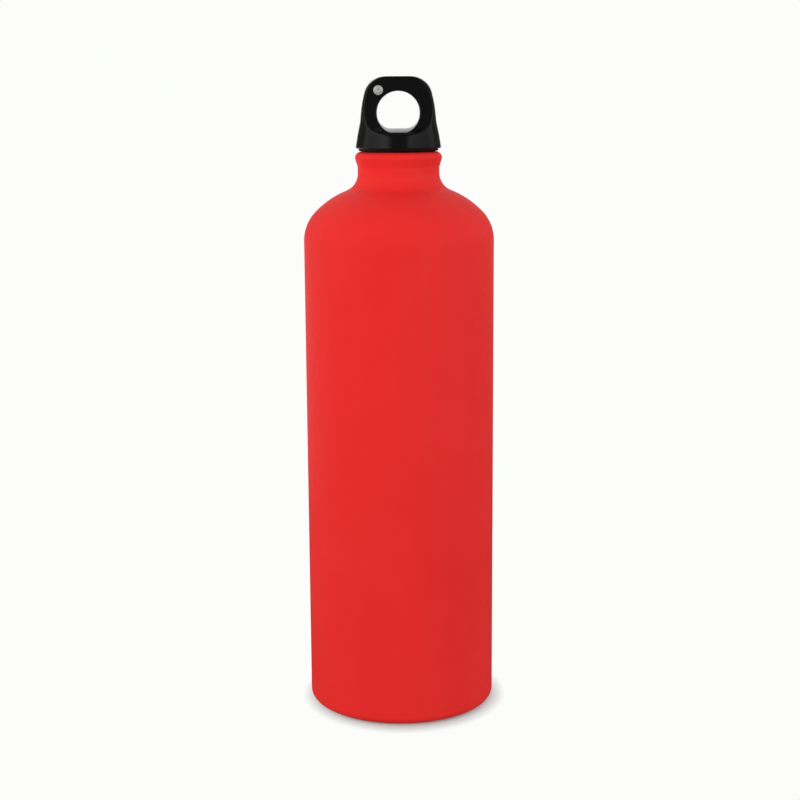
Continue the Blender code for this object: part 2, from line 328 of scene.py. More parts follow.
radius_above_lower_bend = body_radius - shoulder_lower_radius * (1 - math.cos(shoulder_lower_angle))
neck_fillet_reach = neck_fillet_radius * (1 - math.cos(shoulder_full_angle))
shoulder_upper_radius = (radius_above_lower_bend - neck_radius - neck_fillet_reach) / (
    math.cos(shoulder_lower_angle) - math.cos(shoulder_full_angle)
)
shoulder_rise = (
    shoulder_lower_radius * math.sin(shoulder_lower_angle)
    + shoulder_upper_radius * (math.sin(shoulder_full_angle) - math.sin(shoulder_lower_angle))
    + neck_fillet_radius * math.sin(shoulder_full_angle)
)
side_length = rim_height - neck_length - shoulder_rise - foot_corner_radius
rim_width = neck_radius + bead_reach - mouth_radius
bead_radius = bead_round_share * rim_width
lip_radius = lip_round_share * rim_width
bead_run = (
    bead_reach - (bead_blend_radius + bead_radius) * (1 - math.cos(bead_lean))
) / math.sin(bead_lean)
bead_height = (
    (bead_blend_radius + bead_radius) * math.sin(bead_lean)
    + bead_run * math.cos(bead_lean)
    + bead_radius
)
print(
    f"straight side {side_length / millimetre:.1f} mm, shoulder {shoulder_rise / millimetre:.1f} mm"
)


# %% [markdown]
# The wall is drawn twice, once outside and once a wall's thickness further in, and the two
# lines meet at the lip. Each gets its own material: the powder coat covers the outside and
# the bead, and a clear lacquer keeps the drink off the metal inside.

# %% Spin the can
def side_moves(neck_run):
    half_angle = math.atan(base_rise / foot_inner_radius)
    base_angle = 2 * half_angle
    dome_radius = foot_inner_radius / math.sin(base_angle) - base_fillet_radius
    return [
        bend(dome_radius, -base_angle),
        bend(base_fillet_radius, base_angle),
        run(body_radius - foot_corner_radius - foot_inner_radius),
        bend(foot_corner_radius, math.pi / 2),
        run(side_length),
        bend(shoulder_lower_radius, shoulder_lower_angle),
        bend(shoulder_upper_radius, shoulder_full_angle - shoulder_lower_angle),
        bend(neck_fillet_radius, -shoulder_full_angle),
        run(neck_run),
    ]


rim_moves = [
    bend(bead_blend_radius, -bead_lean),
    run(bead_run),
    bend(bead_radius, bead_lean + math.pi / 2),
    run(rim_width - bead_radius - lip_radius),
    bend(lip_radius, math.pi / 2),
    run(lip_depth - lip_radius),
]
base_middle = (0, base_rise)
outside = trace(base_middle, 0, side_moves(neck_length - bead_height) + rim_moves)
inside = trace(base_middle, 0, side_moves(neck_length - lip_depth), offset=wall)
can = turned("coated_can", outside + inside[::-1], segments=256)
print(f"{len(outside)} points outside, {len(inside)} inside")

# %% [markdown]
# ## Powder coat
#
# Polyester powder is sprayed on dry and baked until it flows. It never flows quite flat, so
# the coat keeps an orange peel of shallow bumps two or three millimetres apart and a finer
# grain on top. The eye reads that as satin: highlights spread wide and their edges break up.
# The bumps are hundredths of a millimetre high and the grain is drawn coarser than life.

# %% Red powder coat
def red_powder_coat():
    """Peel breaks the highlights up, grain blurs them, and slow clouds keep the red alive."""
    peel_spacing, peel_height = 2.6 * millimetre, 0.02 * millimetre
    grain_spacing, grain_height = 0.7 * millimetre, 0.01 * millimetre
    cloud_spacing = 38 * millimetre
    material, tree, shader, place = new_finish("satin_red_polyester_powder_coat", 0.52)
    peel = add(
        tree,
        "TexNoise",
        {"Vector": place, "Scale": waves_per_metre(peel_spacing), "Detail": 1.5, "Roughness": 0.4},
    )
    grain = add(
        tree, "TexNoise", {"Vector": place, "Scale": waves_per_metre(grain_spacing), **fine_grain}
    )
    cloud = add(
        tree,
        "TexNoise",
        {"Vector": place, "Scale": waves_per_metre(cloud_spacing), "Detail": 2.0, "Roughness": 0.5},
    )
    tint = add(
        tree, "MapRange", {"Value": cloud.outputs["Fac"], "From Min": 0.35, "From Max": 0.65}
    )
    shade = add(
        tree,
        "Mix",
        {"Factor": tint.outputs["Result"], "A": colour("E12623"), "B": colour("E42926")},
        data_type="RGBA",
    )
    gloss = add(
        tree,
        "MapRange",
        {"Value": peel.outputs["Fac"], **middle_values, "To Min": 0.54, "To Max": 0.62},
    )
    peel_bump = add(
        tree, "Bump", {"Height": peel.outputs["Fac"], "Strength": 0.35, "Distance": peel_height}
    )
    grain_bump = add(
        tree,
        "Bump",
        {
            "Height": grain.outputs["Fac"],
            "Strength": 0.25,
            "Distance": grain_height,
            "Normal": peel_bump.outputs["Normal"],
        },
    )
    shader.inputs["Specular IOR Level"].default_value = 0.18
    tree.links.new(shade.outputs["Result"], shader.inputs["Base Color"])
    tree.links.new(gloss.outputs["Result"], shader.inputs["Roughness"])
    tree.links.new(grain_bump.outputs["Normal"], shader.inputs["Normal"])
    return material


# %% [markdown]
# Inside, the can is drawn aluminium under a clear lacquer. The punch leaves faint bands on
# the wall, and the lacquer makes the metal a little warm. The bands only catch the light
# near the mouth, so one wave is enough for them. A face gets this finish if it looks at the
# axis or lies on the can's floor.

# %% Inner lacquer, and the faces that get it
def inner_lacquer():
    """Bare metal under a warm clear film, with soft bands where the punch has dragged."""
    band_spacing, band_height = 0.9 * millimetre, 0.01 * millimetre
    material, tree, shader, place = new_finish("clear_lacquered_aluminium", 0.34, metallic=1.0)
    rings = add(
        tree,
        "TexWave",
        {
            "Vector": place,
            "Scale": waves_per_metre(band_spacing) / math.tau,
            "Distortion": 0.6,
            "Detail": 1.0,
        },
        wave_type="BANDS",
        bands_direction="Z",
    )
    bump = add(
        tree, "Bump", {"Height": rings.outputs["Fac"], "Strength": 0.2, "Distance": band_height}
    )
    tree.links.new(bump.outputs["Normal"], shader.inputs["Normal"])
    shader.inputs["Base Color"].default_value = colour("C8C2B4")
    return material


inner_floor_limit = 10 * millimetre
inner_wall_start = 2 * foot_corner_radius
facing_up = 0.5


def is_inner(polygon):
    """True on the can's floor and on its inner wall."""
    centre, normal = polygon.center, polygon.normal
    on_floor = normal.z > facing_up and centre.z < inner_floor_limit
    faces_axis = centre.x * normal.x + centre.y * normal.y < 0
    return on_floor or (faces_axis and centre.z > inner_wall_start)


can.data.materials.append(red_powder_coat())
can.data.materials.append(inner_lacquer())
for polygon in can.data.polygons:
    polygon.material_index = int(is_inner(polygon))
inner_share = sum(p.material_index for p in can.data.polygons) / len(can.data.polygons)
print(f"{inner_share:.0%} of the faces are lacquered")
stands_for(can, "bottle_shell", "bottle")

# %% [markdown]
# ## Cap body
#
# The cap is one moulding of glossy black plastic: a flared skirt that narrows into a loop
# for a finger. Boolean cuts give its shape, but they leave knife edges that no mould has. A
# voxel remesh turns the cut shape into an even skin, and smoothing that skin rounds every
# edge by about a millimetre at once, as polishing would. That would also draw in the foot of
# the skirt, so the blank goes on below it with a stub, which is cut off afterwards.

# %% Sizes of the cap
fit_gap = 0.3 * millimetre
cap_low, cap_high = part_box("cap_body")
cap_base_height = cap_low.z
cap_top_height = cap_high.z
cap_height = cap_top_height - cap_base_height
seal_recess_radius = 16.9 * millimetre
cap_base_radius = 17.85 * millimetre
cap_edge_radius = 0.6 * millimetre
stub_length = 3.5 * millimetre
skirt_height = 10.0 * millimetre
skirt_foot_lean = math.radians(7.5)
skirt_top_lean = math.radians(13.5)
skirt_blend_radius = 12.0 * millimetre
loop_foot_lean = math.radians(3.5)
loop_top_lean = math.radians(15)
loop_corner_radius = 8.7 * millimetre
loop_half_thickness = 4.4 * millimetre
scoop_radius = 16.0 * millimetre
scoop_floor_height = 5.45 * millimetre
scoop_slope = math.radians(22)
hole_radius = 8.9 * millimetre
hole_corner_radius = 5.8 * millimetre
hole_top_web = 5.95 * millimetre
hole_crest_rise = 8.3 * millimetre
hole_centre_height = cap_top_height - hole_top_web - hole_radius
hole_crest_height = cap_base_height + hole_crest_rise
hole_arch_radius = 65 * millimetre
hole_steps = 24
overrun = 2.0 * millimetre


def cap_outline():
    """Half of the cap's front view, with a stub below its foot that is cut off later."""
    edge_rise = cap_edge_radius * (1 + math.sin(skirt_foot_lean))
    skirt_bow = math.sin(skirt_top_lean) - math.sin(skirt_foot_lean)
    skirt_radius = (skirt_height - edge_rise) / skirt_bow
    blend_rise = skirt_blend_radius * (math.sin(skirt_top_lean) - math.sin(loop_foot_lean))
    corner_drop = loop_corner_radius * (1 - math.sin(loop_top_lean))
    side_rise = cap_height - skirt_height - blend_rise - corner_drop
    side_radius = side_rise / (math.sin(loop_top_lean) - math.sin(loop_foot_lean))
    foot_radius = cap_base_radius - cap_edge_radius * (1 - math.cos(skirt_foot_lean))
    start = (
        foot_radius + stub_length * math.sin(skirt_foot_lean),
        cap_base_height + edge_rise - stub_length * math.cos(skirt_foot_lean),
    )
    moves = [
        run(stub_length),
        bend(skirt_radius, skirt_top_lean - skirt_foot_lean),
        bend(skirt_blend_radius, loop_foot_lean - skirt_top_lean),
        bend(side_radius, loop_top_lean - loop_foot_lean),
        bend(loop_corner_radius, math.pi / 2 - loop_top_lean),
    ]
    side = trace(start, math.pi / 2 + skirt_foot_lean, moves)
    return [(0, start[1]), *side, (0, cap_top_height)]


cap = turned("loop_cap", cap_outline(), segments=256)
print(f"cap blank {cap_height / millimetre:.1f} mm tall")


# %% [markdown]
# The front and back of the loop are hollowed by two scoops, each a section pushed straight
# along X. The finger hole is a circle that runs into a flat floor, pushed along Y in steps so
# that the floor can arch. It crests in the middle of the loop and falls away to the front and
# back. The light on that slope is the grey bar that shines at the bottom of the hole.

# %% Scoops and finger hole
def pushed(name, outline, direction, steps=1):
    """A closed outline of points extruded straight along a direction, in equal steps."""
    bm = bmesh.new()
    face = bm.faces.new([bm.verts.new(point) for point in outline])
    copied = bmesh.ops.extrude_face_region(bm, geom=[face])["geom"]
    moved = [item for item in copied if isinstance(item, bmesh.types.BMVert)]
    bmesh.ops.translate(bm, verts=moved, vec=direction)
    if steps > 1:
        far_end = set(moved)
        lengthwise = [edge for edge in bm.edges if len(far_end.intersection(edge.verts)) == 1]
        bmesh.ops.subdivide_edges(bm, edges=lengthwise, cuts=steps - 1)
    return mesh_object(name, bm)


def scoop(side):
    """The cutter in front of the loop (-1) or behind it (1)."""
    reach = cap_base_radius + overrun
    above = cap_top_height + overrun
    slope = run(reach / math.cos(scoop_slope))
    rise = scoop_radius * math.cos(scoop_slope)
    bend_along = -loop_half_thickness - scoop_radius * (1 - math.sin(scoop_slope))
    bend_height = cap_base_height + scoop_floor_height + scoop_radius - rise
    start = (bend_along - reach, bend_height - reach * math.tan(scoop_slope))
    moves = [slope, bend(scoop_radius, math.pi / 2 - scoop_slope), run(above - bend_height - rise)]
    section = [*trace(start, scoop_slope, moves), (start[0], above)]
    outline = [(-reach, -side * along, height) for along, height in section]
    return pushed("scoop", outline, (2 * reach, 0, 0))


def finger_hole():
    """The hole's cutter: the further a point is below the centre, the more it follows the arch."""
    drop = hole_centre_height - hole_crest_height
    inner_radius = hole_radius - hole_corner_radius
    corner_turn = math.acos((drop - hole_corner_radius) / inner_radius)
    moves = [
        run(inner_radius * math.sin(corner_turn)),
        bend(hole_corner_radius, corner_turn),
        bend(hole_radius, math.tau - 2 * corner_turn),
        bend(hole_corner_radius, corner_turn),
    ]
    depth = cap_base_radius + overrun
    section = trace((0, hole_crest_height), 0, moves)
    outline = [(across, -depth, height) for across, height in section]
    cutter = pushed("finger_hole", outline, (0, 2 * depth, 0), hole_steps)
    for vert in cutter.data.vertices:
        arch_fall = hole_arch_radius - math.sqrt(hole_arch_radius**2 - vert.co.y**2)
        vert.co.z -= arch_fall * max(0, (hole_centre_height - vert.co.z) / drop)
    return cutter


combine(cap, scoop(-1), "DIFFERENCE")
combine(cap, scoop(1), "DIFFERENCE")
combine(cap, finger_hole(), "DIFFERENCE")
print(f"cap after its cuts: {len(cap.data.polygons)} faces")

# %% Round every edge at once
skin_size = 0.3 * millimetre
polish_share = 0.5
polish_passes = 12

remesh = cap.modifiers.new("even skin", "REMESH")
remesh.mode = "VOXEL"
remesh.voxel_size = skin_size
polish = cap.modifiers.new("polish", "SMOOTH")
polish.factor = polish_share
polish.iterations = polish_passes
settle(cap)
print(f"cap after polishing: {len(cap.data.polygons)} faces")

# %% [markdown]
# The underside has a recess for the seal and a socket that the plug is bonded into. Its
# cutter also takes the stub off and leaves the skirt a foot with a small rounded edge. The
# rivet sits in a shallow seat on each face of the loop, with a bore between them. These
# cuts come after the polish, so they keep their edges.

# %% Socket, seal recess and rivet bore
seal_thickness = 2.0 * millimetre
seal_width = 1.7 * millimetre
recess_top = rim_height + seal_thickness + 2 * fit_gap
socket_depth = 4.2 * millimetre
socket_top = cap_base_height + socket_depth
rivet_low, rivet_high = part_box("loop_rivet")
rivet_sink = 0.5 * millimetre
rivet_head_radius = 2.0 * millimetre
rivet_shank_radius = 1.1 * millimetre
seat_gap = 0.12 * millimetre
washer_radius = 2.35 * millimetre
rivet_place = ((rivet_low.x + rivet_high.x) / 2, 0, (rivet_low.z + rivet_high.z) / 2)
out_of_loop = Matrix.Translation(rivet_place) @ Matrix.Rotation(math.pi / 2, 4, "X")

foot_moves = [
    run(cap_base_radius - cap_edge_radius - seal_recess_radius),
    bend(cap_edge_radius, math.pi / 2),
    run(cap_edge_radius),
]
skirt_foot = trace((seal_recess_radius, cap_base_height), 0, foot_moves)
underside = [
    (0, cap_base_height - stub_length),
    (cap_base_radius + overrun, cap_base_height - stub_length),
    (cap_base_radius + overrun, skirt_foot[-1][1]),
    *skirt_foot[::-1],
    (seal_recess_radius, recess_top),
    (mouth_radius, recess_top),
    (mouth_radius, socket_top),
    (0, socket_top),
]
seat = loop_half_thickness - rivet_sink
outside_loop = loop_half_thickness + overrun
rivet_bore = [
    (0, -outside_loop),
    (washer_radius + fit_gap, -outside_loop),
    (washer_radius + fit_gap, -seat),
    (rivet_shank_radius + fit_gap, -seat),
    (rivet_shank_radius + fit_gap, seat),
    (rivet_head_radius + seat_gap, seat),
    (rivet_head_radius + seat_gap, outside_loop),
    (0, outside_loop),
]
print(f"foot ring {(cap_base_radius - seal_recess_radius) / millimetre:.2f} mm wide")

# %% Cut the underside and the bore
combine(cap, turned("underside", underside, segments=128), "DIFFERENCE")
bore_cutter = place_in_mesh(turned("rivet_bore", rivet_bore, segments=64), out_of_loop)
combine(cap, bore_cutter, "DIFFERENCE")
print(f"cap with its socket and bore: {len(cap.data.polygons)} faces")

# %% [markdown]
# ## Glossy black plastic
#
# The cap is injection moulded from polypropylene in a polished mould, so it has hardly any
# colour of its own: what the eye sees on it is a dim mirror of the room. Handling leaves
# faint smears, which show as slow changes of gloss, and the plastic shrinks a little as it
# cools, which bends its reflections by a hair.

# %% Black cap plastic
def glossy_black_plastic():
    """Sharp, dark reflections that waver a little and go softer where fingers have been."""
    shrink_spacing, shrink_depth = 6 * millimetre, 0.05 * millimetre
    smear_spacing = 4 * millimetre
    material, tree, shader, place = new_finish("glossy_black_moulded_polypropylene", 0.2)
    shrink = add(
        tree,
        "TexNoise",
        {
            "Vector": place,
            "Scale": waves_per_metre(shrink_spacing),
            "Detail": 1.0,
            "Roughness": 0.4,
        },
    )
    smear = add(
        tree,
        "TexNoise",
        {"Vector": place, "Scale": waves_per_metre(smear_spacing), "Detail": 3.0, "Roughness": 0.6},
    )
    gloss = add(
        tree,
        "MapRange",
        {
            "Value": smear.outputs["Fac"],
            "From Min": 0.35,
            "From Max": 0.7,
            "To Min": 0.17,
            "To Max": 0.27,
        },
    )
    bump = add(
        tree, "Bump", {"Height": shrink.outputs["Fac"], "Strength": 0.25, "Distance": shrink_depth}
    )
    tree.links.new(gloss.outputs["Result"], shader.inputs["Roughness"])
    tree.links.new(bump.outputs["Normal"], shader.inputs["Normal"])
    shader.inputs["Base Color"].default_value = colour("0A0B0A")
    return material


cap.data.materials.clear()
cap.data.materials.append(glossy_black_plastic())
stands_for(cap, "cap_body", "cap")

# %% [markdown]
# ## Screw thread
#
# The plug carries a coarse thread with a pitch of four millimetres, and a ring trapped in
# the neck carries its mate. A thread could be a stack of rings, but then it wouldn't screw.
# Here one flat section is spun about Z while it climbs, and its two ends are pressed down
# into the wall, as a moulded thread runs out.

# %% Make a thread's rib
thread_pitch = 4.0 * millimetre
thread_depth = 1.0 * millimetre
thread_flank_angle = math.radians(24)
thread_turns = 1.6
thread_steps_per_turn = 96
run_out_turns = 0.12
run_out_least_share = 0.04
rib_sink = 0.3 * millimetre
rib_edge_radius = 0.12 * millimetre
flank_gap = 0.4 * millimetre
plug_reach = 11.0 * millimetre
thread_margin = 1.6 * millimetre
plug_crest_radius = mouth_radius - fit_gap
plug_root_radius = plug_crest_radius - thread_depth
plug_end_height = rim_height - plug_reach
thread_start_height = plug_end_height + thread_margin


def thread_rib(name, root_radius, crest_radius, start_height):
    """A rib that climbs round Z, with its foot sunk in the wall so that the two can be joined."""
    outward = math.copysign(1, crest_radius - root_radius)
    half_width = thread_pitch / 4 - flank_gap / 2
    flank = thread_depth * math.tan(thread_flank_angle) / 2
    foot = half_width + flank + 2 * rib_sink * flank / thread_depth
    crest = half_width - flank
    sunk_radius = root_radius - outward * rib_sink
    corners = [
        (sunk_radius, -foot),
        (crest_radius, -crest),
        (crest_radius, crest),
        (sunk_radius, foot),
    ]
    bm = bmesh.new()
    rise_layer = bm.verts.layers.float.new("rise")
    section = []
    for radius, rise in corners:
        vert = bm.verts.new((radius, 0, start_height + rise))
        vert[rise_layer] = rise
        section.append(vert)
    steps = round(thread_steps_per_turn * thread_turns)
    bmesh.ops.spin(
        bm,
        geom=[bm.faces.new(section)],
        cent=(0, 0, 0),
        axis=(0, 0, 1),
        dvec=(0, 0, thread_pitch * thread_turns / steps),
        angle=math.tau * thread_turns,
        steps=steps,
        use_merge=False,
        use_duplicate=False,
    )
    for vert in bm.verts:
        climbed = (vert.co.z - start_height - vert[rise_layer]) / thread_pitch
        from_end = max(0, min(climbed, thread_turns - climbed)) / run_out_turns
        share = max(run_out_least_share, math.sin(min(1, from_end) * math.pi / 2))
        radius = math.hypot(vert.co.x, vert.co.y)
        stretch = (sunk_radius + (radius - sunk_radius) * share) / radius
        vert.co.x *= stretch
        vert.co.y *= stretch
    return round_edges(mesh_object(name, bm), rib_edge_radius, segments=2)


print(f"thread: {thread_turns} turns at {thread_pitch / millimetre:.0f} mm pitch")

# %% [markdown]
# The plug is hollow, so that its walls cool evenly in the mould. A disc closes the hollow
# from below, and the smooth shank above the thread passes through the seal.

# %% Plug and its end disc
plug_wall = 1.6 * millimetre
plug_roof = 1.5 * millimetre
plug_edge_radius = 0.2 * millimetre
ledge_width = 0.9 * millimetre
shank_reach = 1.55 * millimetre
disc_thickness = 1.5 * millimetre
plug_bore_radius = plug_root_radius - plug_wall
ledge_radius = plug_bore_radius + ledge_width
ledge_height = plug_end_height + disc_thickness + fit_gap
shank_bottom = rim_height - shank_reach
plug_top = socket_top - fit_gap
plug_outline = [
    (0, plug_top),
    (plug_crest_radius, plug_top),
    (plug_crest_radius, shank_bottom),
    (plug_root_radius, shank_bottom),
    (plug_root_radius, plug_end_height),
    (ledge_radius, plug_end_height),
    (ledge_radius, ledge_height),
    (plug_bore_radius, ledge_height),
    (plug_bore_radius, plug_top - plug_roof),
    (0, plug_top - plug_roof),
]
plug = round_edges(turned("threaded_plug", plug_outline), plug_edge_radius)
plug_rib = thread_rib("plug_rib", plug_root_radius, plug_crest_radius, thread_start_height)
combine(plug, plug_rib, "UNION")

disc_radius = ledge_radius - fit_gap
disc_top = plug_end_height + disc_thickness
disc_outline = [
    (0, plug_end_height),
    (disc_radius, plug_end_height),
    (disc_radius, disc_top),
    (0, disc_top),
]
disc = round_edges(turned("plug_cover", disc_outline), plug_edge_radius)
print(f"plug {len(plug.data.polygons)} faces, disc {len(disc.data.polygons)} faces")


# %% [markdown]
# The plug and its disc come out of spark-eroded moulds, whose tiny pits scatter the light.
# So this black is softer and greyer than that of the polished cap, which tells them apart.
# The pits are drawn coarser than life, since the camera could not see real ones.

# %% Satin black plastic
def satin_black_plastic(name, hex_digits):
    """An even satin: fine pits blur each highlight and vary its gloss."""
    pit_spacing, pit_depth = 0.4 * millimetre, 0.02 * millimetre
    material, tree, shader, place = new_finish(name, 0.38)
    pits = add(
        tree, "TexNoise", {"Vector": place, "Scale": waves_per_metre(pit_spacing), **fine_grain}
    )
    bumpy_gloss(tree, shader, pits, 0.4, pit_depth, 0.33, 0.45)
    shader.inputs["Base Color"].default_value = colour(hex_digits)
    return material


plug.data.materials.clear()
plug.data.materials.append(satin_black_plastic("satin_black_moulded_plug", "151615"))
disc.data.materials.append(satin_black_plastic("satin_black_moulded_disc", "171817"))
stands_for(plug, "cap_plug", "cap")
stands_for(disc, "plug_end_disc", "cap")

# %% [markdown]
# ## Thread ring in the neck
#
# The neck's wall is too thin for a thread, so a turned aluminium ring with the female thread
# is trapped under the rolled lip. It is a closed outline spun about Z, and its rib is the
# plug's turned inside out and set half a pitch lower, so that the two can mesh.

# %% Thread ring
insert_length = 12.0 * millimetre
insert_edge_radius = 0.15 * millimetre
insert_outer_radius = neck_radius - wall - fit_gap
insert_top = rim_height - lip_depth - fit_gap
insert_bottom = insert_top - insert_length
ring_outline = [
    (mouth_radius, insert_bottom),
    (insert_outer_radius, insert_bottom),
    (insert_outer_radius, insert_top),
    (mouth_radius, insert_top),
]
ring = round_edges(turned("neck_thread_ring", ring_outline, closed=True), insert_edge_radius)
groove_height = thread_start_height - thread_pitch / 2
ring_rib = thread_rib("ring_rib", mouth_radius, mouth_radius - thread_depth, groove_height)
combine(ring, ring_rib, "UNION")
print(f"ring {(insert_top - insert_bottom) / millimetre:.0f} mm tall")


# %% [markdown]
# A lathe leaves fine grooves that run round the metal and draw its highlights out into
# streaks. Real grooves would take a great many faces, so a noise is squeezed along Z until
# its lumps lie a fifth of a millimetre apart, and used as bump.

# %% Turned aluminium
def turned_aluminium():
    """Streaky metal: long highlights that break up from groove to groove."""
    mark_length, mark_depth = 8 * millimetre, 0.02 * millimetre
    marks_per_length = 40.0
    material, tree, shader, place = new_finish("turned_aluminium", 0.3, metallic=1.0)
    squeeze = add(tree, "Mapping", {"Vector": place, "Scale": (1.0, 1.0, marks_per_length)})
    squeezed, scale = squeeze.outputs["Vector"], waves_per_metre(mark_length)
    marks = add(tree, "TexNoise", {"Vector": squeezed, "Scale": scale, **fine_grain})
    bumpy_gloss(tree, shader, marks, 0.35, mark_depth, 0.26, 0.4)
    shader.inputs["Base Color"].default_value = colour("C9CBCD")
    return material


ring.data.materials.clear()
ring.data.materials.append(turned_aluminium())
stands_for(ring, "neck_thread_insert", "bottle")

# %% [markdown]
# ## Seal
#
# A flat ring of black silicone closes the gap between the rim and the cap. Its section is a
# rectangle with rounded corners, drawn as one closed line and spun.

# %% Seal
seal_bottom = rim_height + fit_gap
seal_edge_radius = 0.4 * millimetre
seal_moves = [
    run(seal_width - seal_edge_radius),
    bend(seal_edge_radius, math.pi / 2),
    run(seal_thickness - 2 * seal_edge_radius),
    bend(seal_edge_radius, math.pi / 2),
    run(seal_width - seal_edge_radius),
]
seal = turned("seal", trace((mouth_radius, seal_bottom), 0, seal_moves), closed=True)
print(f"seal {seal_thickness / millimetre:.1f} mm thick")


# %% [markdown]
# Silicone is dull and soft, and it holds a little dust, which lifts its black to a dark
# grey. Only the peaks of the noise are used for the dust, so it comes in specks.

# %% Black silicone
def black_silicone():
    """Weak, wide highlights on a skin of soft lumps, with specks of dust a shade lighter."""
    dust_spacing, lump_height = 0.8 * millimetre, 0.02 * millimetre
    material, tree, shader, place = new_finish("matte_black_silicone", 0.62)
    shader.inputs["Specular IOR Level"].default_value = 0.3
    dust = add(
        tree,
        "TexNoise",
        {"Vector": place, "Scale": waves_per_metre(dust_spacing), "Detail": 3.0, "Roughness": 0.7},
    )
    speck = add(
        tree, "MapRange", {"Value": dust.outputs["Fac"], "From Min": 0.55, "From Max": 0.75}
    )
    shade = add(
        tree,
        "Mix",
        {"Factor": speck.outputs["Result"], "A": colour("0C0B0B"), "B": colour("161412")},
        data_type="RGBA",
    )
    bump = add(
        tree, "Bump", {"Height": dust.outputs["Fac"], "Strength": 0.3, "Distance": lump_height}
    )
    tree.links.new(shade.outputs["Result"], shader.inputs["Base Color"])
    tree.links.new(bump.outputs["Normal"], shader.inputs["Normal"])
    return material


seal.data.materials.append(black_silicone())
stands_for(seal, "seal_ring", "seal")

# %% [markdown]
# ## Rivet and washer
#
# A small tubular rivet goes through the loop's corner. Its head is domed and has a shallow
# dimple, and its tail is flared over a washer behind. Both are turned standing up and then
# laid through the loop.

# %% Rivet
head_rim_thickness = 0.25 * millimetre
head_thickness = 0.7 * millimetre
dimple_depth = 0.5 * millimetre
bore_radius = 0.6 * millimetre
tail_bore_depth = 3.0 * millimetre
flare_radius = 1.7 * millimetre
rivet_edge_radius = 0.16 * millimetre
washer_thickness = 0.6 * millimetre
dome_steps = 8

rivet_seat = seat + fit_gap
head_rim = rivet_seat + head_rim_thickness
head_top = rivet_seat + head_thickness
washer_face = -(rivet_seat + washer_thickness + fit_gap)
tail = washer_face - (rivet_shank_radius - bore_radius)
dome_radius = (rivet_head_radius**2 + (head_top - head_rim) ** 2) / (2 * (head_top - head_rim))
dome_width = rivet_head_radius - bore_radius
dome_places = [bore_radius + dome_width * step / dome_steps for step in range(dome_steps + 1)]
dome = [
    (across, head_top - dome_radius + math.sqrt(dome_radius**2 - across**2))
    for across in dome_places
]
rivet_outline = [
    (0, head_top - dimple_depth),
    *dome,
    (rivet_head_radius, rivet_seat),
    (rivet_shank_radius, rivet_seat),
    (rivet_shank_radius, washer_face),
    (flare_radius, washer_face),
    (flare_radius, tail),
    (bore_radius, tail),
    (bore_radius, tail + tail_bore_depth),
    (0, tail + tail_bore_depth),
]
rivet = turned("tubular_rivet", rivet_outline, segments=96)
round_edges(rivet, rivet_edge_radius, segments=4, sharper_than=20)
place_in_mesh(rivet, out_of_loop)
print(f"head {head_thickness / millimetre:.1f} mm thick")

# %% Washer
washer_edge_radius = 0.1 * millimetre
washer_outline = [
    (rivet_shank_radius + fit_gap, -rivet_seat),
    (washer_radius, -rivet_seat),
    (washer_radius, -rivet_seat - washer_thickness),
    (rivet_shank_radius + fit_gap, -rivet_seat - washer_thickness),
]
washer = turned("washer", washer_outline, segments=96, closed=True)
round_edges(washer, washer_edge_radius)
place_in_mesh(washer, out_of_loop)
print(f"washer {2 * washer_radius / millimetre:.1f} mm across")


# %% [markdown]
# Both are steel, barrel plated: the rivet with nickel, the washer with zinc. The tumbling
# leaves a soft shine full of tiny dings, drawn coarser than life. A dull plating scatters
# some of the light within its grain, so neither finish is wholly metallic, and the rivet
# stays pale in a dim room.

# %% Plated steel
def plated_steel(name, hex_digits, roughness, metallic):
    """A soft metal shine that each ding shifts a little."""
    ding_spacing, ding_depth = 0.5 * millimetre, 0.01 * millimetre
    material, tree, shader, place = new_finish(name, roughness, metallic)
    dings = add(
        tree, "TexNoise", {"Vector": place, "Scale": waves_per_metre(ding_spacing), **fine_grain}
    )
    bumpy_gloss(tree, shader, dings, 0.25, ding_depth, roughness - 0.05, roughness + 0.08)
    shader.inputs["Base Color"].default_value = colour(hex_digits)
    return material


rivet.data.materials.append(plated_steel("dull_nickel_plated_steel", "EDEBE6", 0.5, 0.72))
washer.data.materials.append(plated_steel("zinc_plated_steel", "B4B3AF", 0.42, 0.9))
stands_for(rivet, "loop_rivet", "cap")
stands_for(washer, "rivet_washer", "cap")

# %% [markdown]
# ## Floor and studio
#
# The photograph is a cut-out on near white with a tight soft shadow at the foot. Near the
# foot the floor is a cool grey that takes the real shadow, and that grey is painted shade
# which darkens the shadow further. Further out it is all glow, so it meets the world's white
# without a line. The edge of the painted shade is squeezed along X and moved a millimetre to
# the right, where the shadow reaches a little further. A glow could light the whole object,
# so only the camera sees its full strength. Dull surfaces get a plain bounce from it, and
# mirrors see painted light on the floor: dim near the foot, bright far behind on the left.

# %% The rays that see the backdrop
def rays_that_see(tree):
    """The ray types, and 1 for the rays that come from the camera or a mirror."""
    rays = add(tree, "LightPath")
    seen = add(
        tree,
        "Math",
        {0: rays.outputs["Is Camera Ray"], 1: rays.outputs["Is Glossy Ray"]},
        operation="MAXIMUM",
    )
    return rays, seen.outputs[0]


white = colour("FCFDFB")
print("backdrop", [round(channel, 3) for channel in white])

# %% Floor
floor_radius = 4.0
# Where the painted shade round the foot ends, and how its edge is squeezed and shifted.
fade_start = 0.039
fade_end = 0.0484
glow_near = 0.1
shadow_shift = (-0.0011, 0.0, 0.0)
shadow_squeeze = (1.08, 1.0, 1.0)
bounce = 0.38
dim = 0.06
sheen_direction = (-0.7, 1.0, 0.0)
sheen_start = 0.3
sheen_end = 1.1

